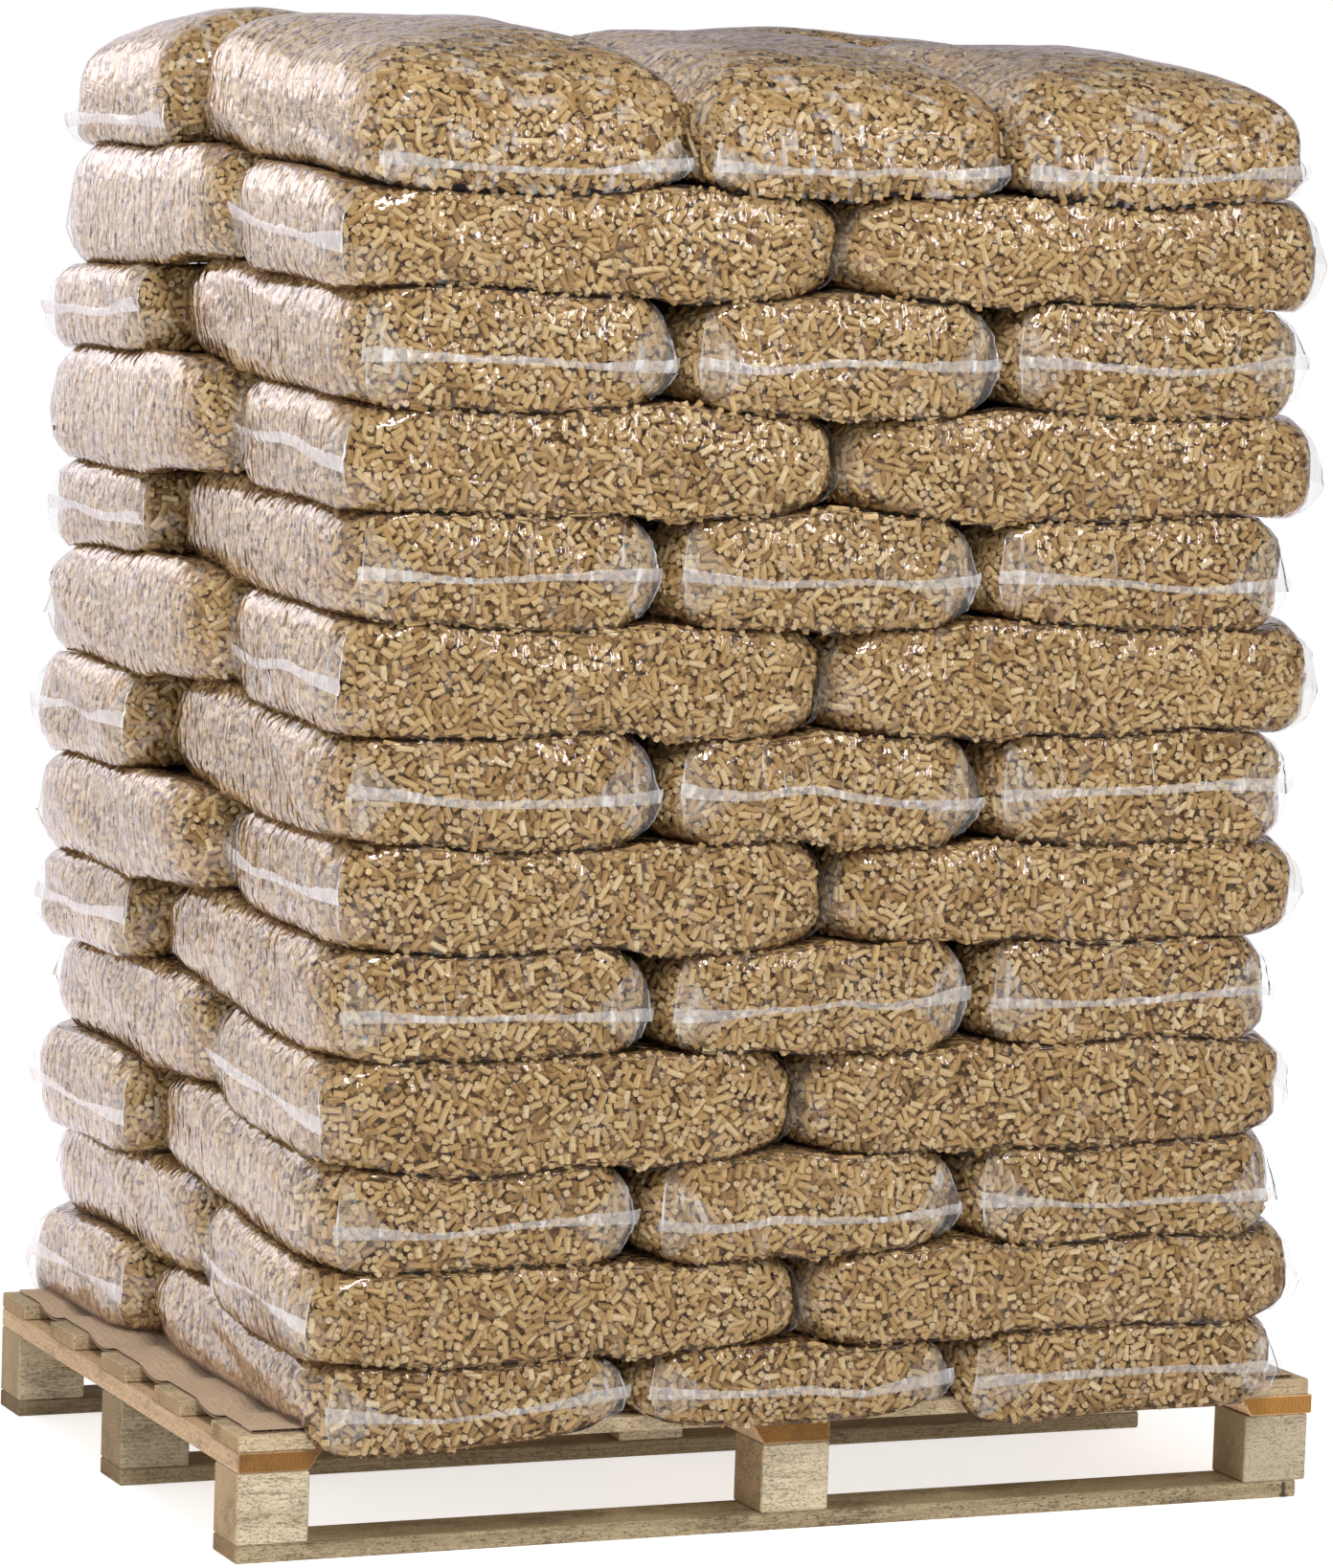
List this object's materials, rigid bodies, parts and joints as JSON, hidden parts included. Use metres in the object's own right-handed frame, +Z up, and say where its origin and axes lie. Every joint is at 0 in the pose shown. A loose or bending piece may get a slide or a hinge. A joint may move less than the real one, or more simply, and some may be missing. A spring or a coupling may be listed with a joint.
{
  "type": "pallet of filled sacks",
  "caption": "Light wooden pallet with a cardboard slip sheet, loaded with a crossed stack of clear film sacks filled with wood pellets.",
  "frame": {"origin": "on the floor under the middle of the pallet, on the underside of the middle skid", "axes": "+Z up, +X along the pallet's long side from left to right as seen from the front, +Y from the front to the back"},
  "size_m": [1.205, 0.8978, 1.5471],
  "materials": {
    "pellet_sacks": "clear film tight over golden brown wood pellets",
    "clear_film": "clear, slightly milky polyethylene film with fine wrinkles",
    "wood_pellets": "pressed sawdust pellets with a satin skin and paler broken ends",
    "cardboard": "brown corrugated board",
    "deck_wood": "sawn softwood, dry and slightly dirty",
    "stringer_wood": "sawn softwood with orange end grain",
    "block_wood": "sawn softwood blocks, pale and weathered",
    "skid_wood": "weathered grey softwood"
  },
  "bodies": {
    "root": {"skid_front": "skid_wood", "skid_middle": "skid_wood", "skid_rear": "skid_wood", "block_front_left": "block_wood", "block_front_centre": "block_wood", "block_front_right": "block_wood", "block_middle_left": "block_wood", "block_middle_centre": "block_wood", "block_middle_right": "block_wood", "block_rear_left": "block_wood", "block_rear_centre": "block_wood", "block_rear_right": "block_wood", "stringer_left": "stringer_wood", "stringer_centre": "stringer_wood", "stringer_right": "stringer_wood", "deck_board_1": "deck_wood", "deck_board_2": "deck_wood", "deck_board_3": "deck_wood", "deck_board_4": "deck_wood", "deck_board_5": "deck_wood", "slip_sheet": "cardboard", "sack_layer_01": "pellet_sacks", "sack_layer_02": "pellet_sacks", "sack_layer_03": "pellet_sacks", "sack_layer_04": "pellet_sacks", "sack_layer_05": "pellet_sacks", "sack_layer_06": "pellet_sacks", "sack_layer_07": "pellet_sacks", "sack_layer_08": "pellet_sacks", "sack_layer_09": "pellet_sacks", "sack_layer_10": "pellet_sacks", "sack_layer_11": "pellet_sacks", "sack_layer_12": "pellet_sacks", "sack_layer_13": "pellet_sacks"}
  },
  "joints": []
}
